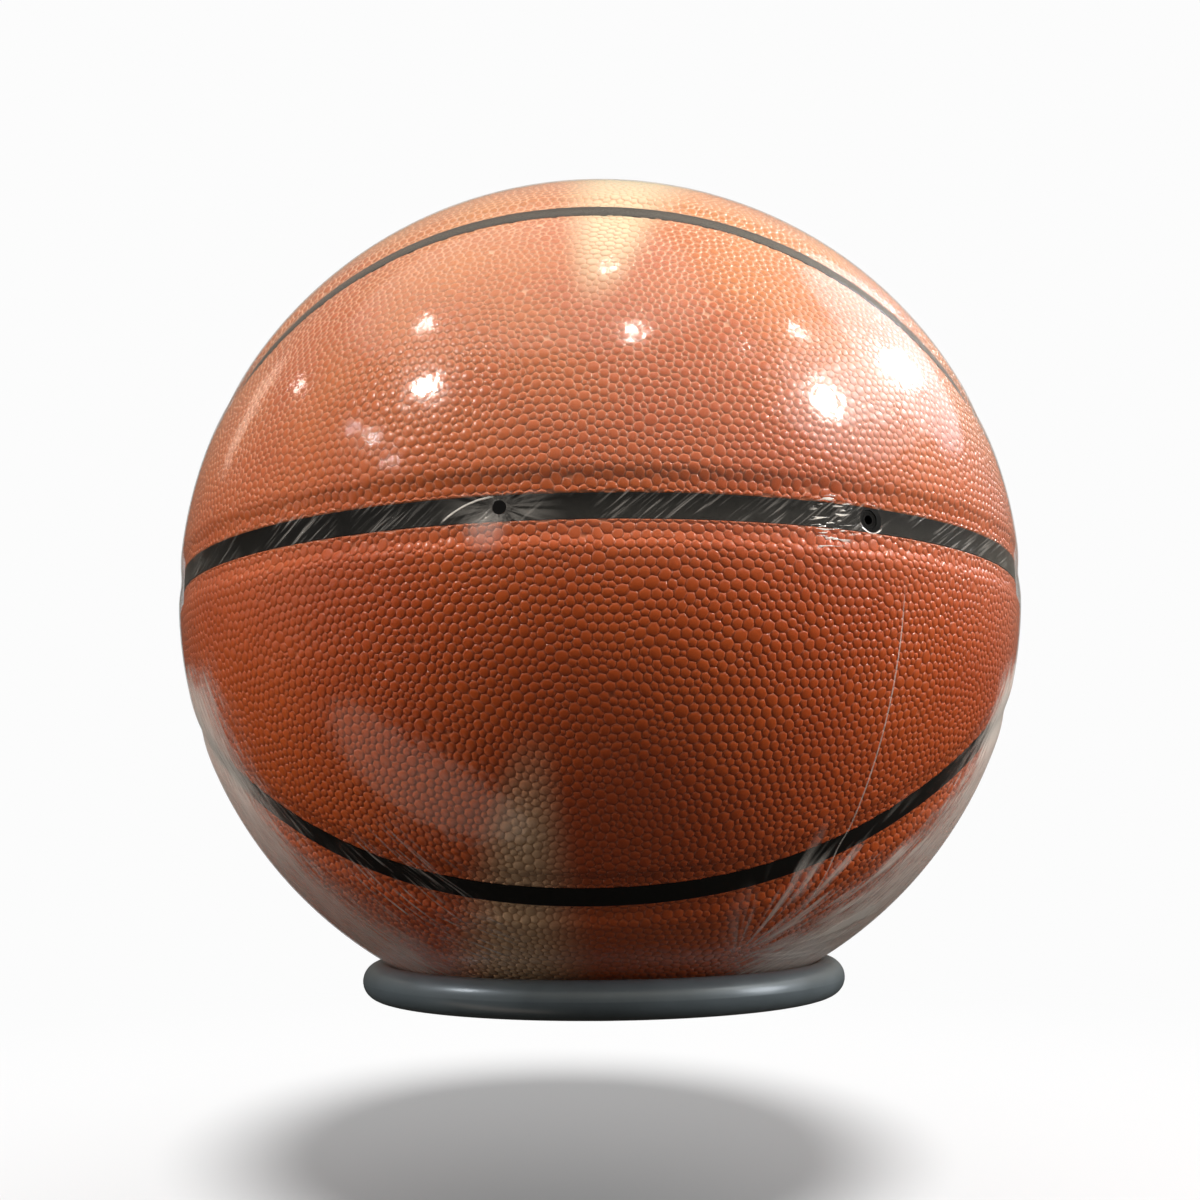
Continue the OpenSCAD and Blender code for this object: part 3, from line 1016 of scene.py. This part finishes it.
# %% Choose what a lamp lights
def all_but(*pieces):
    """A collection that makes a lamp light everything except the pieces."""
    made = bpy.data.collections.new("not " + " or ".join(piece.name for piece in pieces))
    for piece in pieces:
        made.objects.link(piece)
    for entry in made.collection_objects:
        entry.light_linking.link_state = "EXCLUDE"
    return made


def only(piece):
    """A collection that makes a lamp light one piece alone."""
    made = bpy.data.collections.new("only " + piece.name)
    made.objects.link(piece)
    return made


# %% [markdown]
# ## A lamp's mirror image
#
# Every bright spot on the film is the mirror image of a lamp. So such a lamp is placed by its spot: a ray
# from the camera through the spot meets the ball, and the mirrored ray leads to the lamp. The spots are given
# in pixels of a picture 1200 pixels wide.

# %% Follow a spot to its lamp
def mirrored(spot):
    """Where on the ball the camera sees the spot, and the direction in which that place mirrors it."""
    turn = camera.matrix_world.to_3x3()
    x, y = spot
    look = (turn @ Vector((x - IMAGE / 2, IMAGE / 2 - y, -focal_px))).normalized()
    b = camera.location.dot(look)
    reach = -b - math.sqrt(b * b - camera.location.length_squared + FILM_R ** 2)
    place = camera.location + reach * look
    return place, look.reflect(place.normalized())


# %% [markdown]
# ## Three kinds of lamps
#
# A spot needs a round lamp and a sheen a long one. Soft light comes from large lamps, most of which show no
# mirror image. Blender's lamps are set by their power, so the power is worked out from how bright the lamp
# itself should look and from its size.

# %% Make lamps
LAMP_DISTANCE = 1.5


def lamp(name, place, target, size, radiance, tone, lit):
    """A round area lamp that is as bright as asked, whatever its size, and lights the pieces in lit."""
    bpy.ops.object.light_add(type="AREA", location=place)
    made = bpy.context.object
    made.name = name
    made.rotation_euler = (Vector(target) - Vector(place)).to_track_quat("-Z", "Y").to_euler()
    made.data.shape = "DISK"
    made.data.size = size
    made.data.energy = radiance * math.pi * math.pi * (size / 2) ** 2
    made.data.color = colour(tone)[:3]
    made.visible_camera = False
    made.light_linking.receiver_collection = lit
    return made


def long_lamp(name, ends, width, radiance, tone, lit):
    """An elliptical lamp whose mirror image reaches from one spot to another."""
    (place_1, way_1), (place_2, way_2) = mirrored(ends[0]), mirrored(ends[1])
    end_1, end_2 = place_1 + LAMP_DISTANCE * way_1, place_2 + LAMP_DISTANCE * way_2
    target = (place_1 + place_2) / 2
    made = lamp(name, (end_1 + end_2) / 2, target, 1.0, radiance, tone, lit)
    out = (made.location - target).normalized()
    along = (end_2 - end_1).normalized()
    along = (along - out * along.dot(out)).normalized()
    made.rotation_euler = Matrix((along, out.cross(along), out)).transposed().to_euler()
    made.data.shape = "ELLIPSE"
    made.data.size, made.data.size_y = (end_2 - end_1).length, width
    made.data.energy = radiance * math.pi * math.pi * made.data.size * width / 4


def far_lamp(name, angles, size, radiance, tone, lit, mirrors=False):
    """A round lamp in a direction from the ball's middle, which need not show as a mirror image."""
    made = lamp(name, LAMP_DISTANCE * Vector(towards(*angles)), (0, 0, 0), size, radiance, tone, lit)
    made.visible_glossy = mirrors


# %% [markdown]
# ## Small lamps
#
# Small lamps make the bright spots. Each one's size and strength are chosen for its own spot. They don't
# light the ring, so that it gets no spots from them.

# %% Place the small lamps
ball_only = all_but(floor, nodes["display_ring"])
SPOTS = {"spot_left_high": ((425, 325), 0.06, 50), "spot_left": ((425, 386), 0.075, 400),
         "spot_left_low": ((372, 438), 0.04, 60), "spot_left_side": ((352, 428), 0.03, 60),
         "spot_left_edge": ((392, 462), 0.03, 60),
         "spot_far_left": ((300, 385), 0.05, 34), "spot_top": ((610, 268), 0.05, 60),
         "spot_middle": ((633, 331), 0.055, 90), "spot_right_inner": ((742, 350), 0.03, 70),
         "spot_right_high": ((797, 330), 0.05, 80), "spot_right": ((828, 400), 0.15, 110)}
for name, (spot, size, radiance) in SPOTS.items():
    place, direction = mirrored(spot)
    lamp(name, place + LAMP_DISTANCE * direction, place, size, radiance, "#FFF9F2", ball_only)
print("small lamps:", len(SPOTS))

# %% [markdown]
# ## Long lamps
#
# These make the soft sheens, the haze between the two spots on the right, the window on the left and the pale
# card low in front. Each is an ellipse, and its mirror image reaches from one spot to another.

# %% Place the long lamps
all_spared = all_but(floor)
LONG_LAMPS = {"spot_far_right": (((884, 366), (914, 370)), 0.13, 60, "#FFFFFF"),
              "sheen_right": (((850, 340), (940, 380)), 0.9, 1.9, "#EEF1FF"),
              "haze_right": (((790, 425), (905, 375)), 0.7, 1.3, "#FFFFFF"),
              "haze_right_core": (((810, 412), (890, 378)), 0.35, 2.2, "#FFFFFF"),
              "sheen_left": (((350, 330), (690, 330)), 1.2, 0.5, "#FFFFFF"),
              "window_left": (((288, 355), (222, 480)), 0.14, 1.5, "#FFF0DC"),
              "card_low": (((330, 705), (530, 828)), 0.5, 0.6, "#FFE9D6")}
for name, (ends, width, radiance, tone) in LONG_LAMPS.items():
    long_lamp(name, ends, width, radiance, tone, all_spared)
print("long lamps:", len(LONG_LAMPS))

# %% [markdown]
# ## Soft lamps
#
# Six soft lamps light the ball and the ring and show no mirror image. Two more light the film alone, so that
# its milky places stand out. Two light the ring alone, and it mirrors them.

# %% Place the soft lamps
SOFT_LAMPS = {"soft_left": ((-80, 10), 0.9, 5.4), "soft_right": ((82, 12), 0.9, 5.4),
              "soft_low_left": ((-80, -25), 0.7, 0.9), "soft_low_right": ((80, -25), 0.7, 1.4),
              "soft_top": ((0, 72), 0.9, 4.4), "soft_back": ((180, 35), 0.9, 1.6)}
for name, (angles, size, radiance) in SOFT_LAMPS.items():
    far_lamp(name, angles, size, radiance, "#FFFFFF", all_spared)

FILM_LAMPS = {"film_left": ((-60, -30), 0.5, 10.0), "film_right": ((65, -35), 0.5, 22.0)}
for name, (angles, size, radiance) in FILM_LAMPS.items():
    far_lamp(name, angles, size, radiance, "#FFEBDA", only(film))

RING_LAMPS = {"ring_left": ((-72, 32), 0.35, 16.0), "ring_right": ((80, 12), 0.6, 8.0)}
for name, (angles, size, radiance) in RING_LAMPS.items():
    far_lamp(name, angles, size, radiance, "#F4F8FF", only(nodes["display_ring"]), mirrors=True)
print("soft lamps:", len(SOFT_LAMPS) + len(FILM_LAMPS) + len(RING_LAMPS))

# %% [markdown]
# ## Shadow
#
# One distant lamp lights the floor alone and gives the shadow. It stands for a wide light, so its rays come
# from an angle of 15 degrees, which makes the shadow soft.

# %% Place the shadow lamp
SHADOW_AZIMUTH, SHADOW_HEIGHT, SHADOW_SOFTNESS = 9.2, 49.5, 15.0
SHADOW_STRENGTH = 3.7
bpy.ops.object.light_add(type="SUN", location=2 * Vector(towards(SHADOW_AZIMUTH, SHADOW_HEIGHT)))
sun = bpy.context.object
sun.name = "shadow_lamp"
sun.rotation_euler = (-sun.location).to_track_quat("-Z", "Y").to_euler()
sun.data.angle = math.radians(SHADOW_SOFTNESS)
sun.data.energy = SHADOW_STRENGTH
sun.light_linking.receiver_collection = only(floor)
print("lamps:", len(bpy.data.lights))

# %% [markdown]
# ## Picture settings
#
# The Standard view shows a colour as it is written, without the softer contrast of Blender's own default.

# %% Set the view
bpy.context.scene.view_settings.view_transform = "Standard"
print("view:", bpy.context.scene.view_settings.view_transform)
